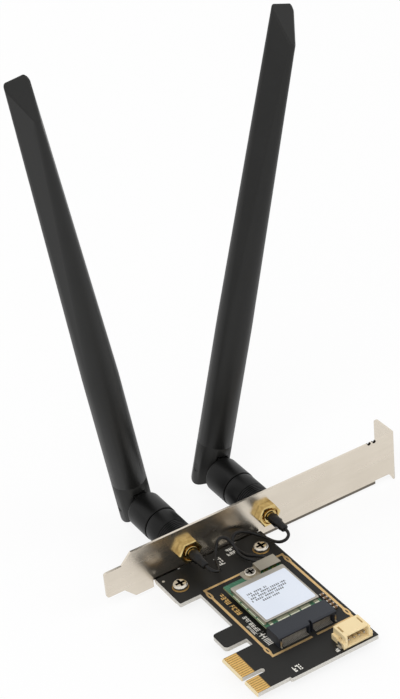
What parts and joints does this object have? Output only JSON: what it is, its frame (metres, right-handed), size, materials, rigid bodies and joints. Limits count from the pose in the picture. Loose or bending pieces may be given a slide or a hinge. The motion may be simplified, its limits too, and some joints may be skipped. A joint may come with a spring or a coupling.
{
  "type": "pcie wifi card",
  "caption": "Wifi card for a computer's expansion slot: edge-tongue board with a plug-in radio module, slot bracket with jacks, and folding swivel antennas.",
  "frame": {"origin": "centre of the edge tongue's key notch, on the tongue's leading edge, halfway through the board", "axes": "+X along the bracket to its lip, +Y from the board out through the bracket to the antennas, +Z out of the board's component side, along the raised masts"},
  "size_m": [0.12, 0.1104, 0.1799],
  "materials": {
    "plated_steel": "polished",
    "screw_steel": "polished",
    "black_board": "satin solder mask",
    "contact_gold": "satin",
    "trace_gold": "satin",
    "capacitor_ceramic": "matte",
    "slot_plastic": "matte",
    "tin": "satin",
    "green_board": "gloss solder mask",
    "label_paper": "matte",
    "chip_plastic": "matte",
    "ivory_plastic": "satin",
    "jack_gold": "polished",
    "white_plastic": "satin",
    "black_sleeve": "matte",
    "cord_black": "gloss",
    "antenna_plastic": "fine satin",
    "hinge_plastic": "satin",
    "clip_steel": "satin",
    "copper": "satin"
  },
  "bodies": {
    "card": {"bracket": "plated_steel", "bracket_screws": "screw_steel", "adapter_board": "black_board", "edge_contacts": "contact_gold", "frame_trace": "trace_gold", "board_capacitors": "capacitor_ceramic", "slot_housing": "slot_plastic", "slot_contacts": "tin", "slot_hold_downs": "tin", "module_standoff": "tin", "module_screw": "screw_steel", "module_board": "green_board", "module_contacts": "contact_gold", "module_shield": "tin", "module_label": "label_paper", "radio_chip": "chip_plastic", "coax_receptacles": "jack_gold", "retaining_clip": "clip_steel", "header_housing": "ivory_plastic", "header_pins": "tin", "header_hold_downs": "tin", "jack_nuts": "jack_gold", "jack_lock_washers": "jack_gold", "left_jack_body": "jack_gold", "left_jack_insulator": "white_plastic", "left_jack_contact": "jack_gold", "left_crimp_ferrule": "jack_gold", "left_heat_shrink": "black_sleeve", "left_pigtail": "cord_black", "left_pigtail_plug": "jack_gold", "right_jack_body": "jack_gold", "right_jack_insulator": "white_plastic", "right_jack_contact": "jack_gold", "right_crimp_ferrule": "jack_gold", "right_heat_shrink": "black_sleeve", "right_pigtail": "cord_black", "right_pigtail_plug": "jack_gold"},
    "left_collar": {"left_collar": "hinge_plastic", "left_collar_nut": "jack_gold"},
    "left_elbow": {"left_elbow": "hinge_plastic", "left_plug_insulator": "white_plastic", "left_plug_contact": "jack_gold"},
    "left_mast": {"left_hinge_pin": "antenna_plastic", "left_mast_fork": "antenna_plastic", "left_mast_tube": "antenna_plastic", "left_radiator": "copper", "left_feed_lead": "cord_black"},
    "right_collar": {"right_collar": "hinge_plastic", "right_collar_nut": "jack_gold"},
    "right_elbow": {"right_elbow": "hinge_plastic", "right_plug_insulator": "white_plastic", "right_plug_contact": "jack_gold"},
    "right_mast": {"right_hinge_pin": "antenna_plastic", "right_mast_fork": "antenna_plastic", "right_mast_tube": "antenna_plastic", "right_radiator": "copper", "right_feed_lead": "cord_black"}
  },
  "joints": [
    {"name": "left_collar_spin", "type": "hinge", "parent": "card", "child": "left_collar", "pos_m": [0.0173, 0.0703, 0.0074], "axis": [0, 1, 0], "continuous": true},
    {"name": "left_elbow_swivel", "type": "hinge", "parent": "card", "child": "left_elbow", "pos_m": [0.0173, 0.0767, 0.0074], "axis": [0, 1, 0], "range_deg": [-172.9, 7.1]},
    {"name": "left_mast_fold", "type": "hinge", "parent": "left_elbow", "child": "left_mast", "pos_m": [0.0173, 0.0952, 0.0074], "axis": [-0.9923, 0, -0.1236], "range_deg": [0, 90]},
    {"name": "right_collar_spin", "type": "hinge", "parent": "card", "child": "right_collar", "pos_m": [0.0494, 0.0703, 0.0074], "axis": [0, 1, 0], "continuous": true},
    {"name": "right_elbow_swivel", "type": "hinge", "parent": "card", "child": "right_elbow", "pos_m": [0.0494, 0.0767, 0.0074], "axis": [0, 1, 0], "range_deg": [-15.4, 164.6]},
    {"name": "right_mast_fold", "type": "hinge", "parent": "right_elbow", "child": "right_mast", "pos_m": [0.0494, 0.0952, 0.0074], "axis": [-0.9641, 0, 0.2656], "range_deg": [0, 90]}
  ]
}
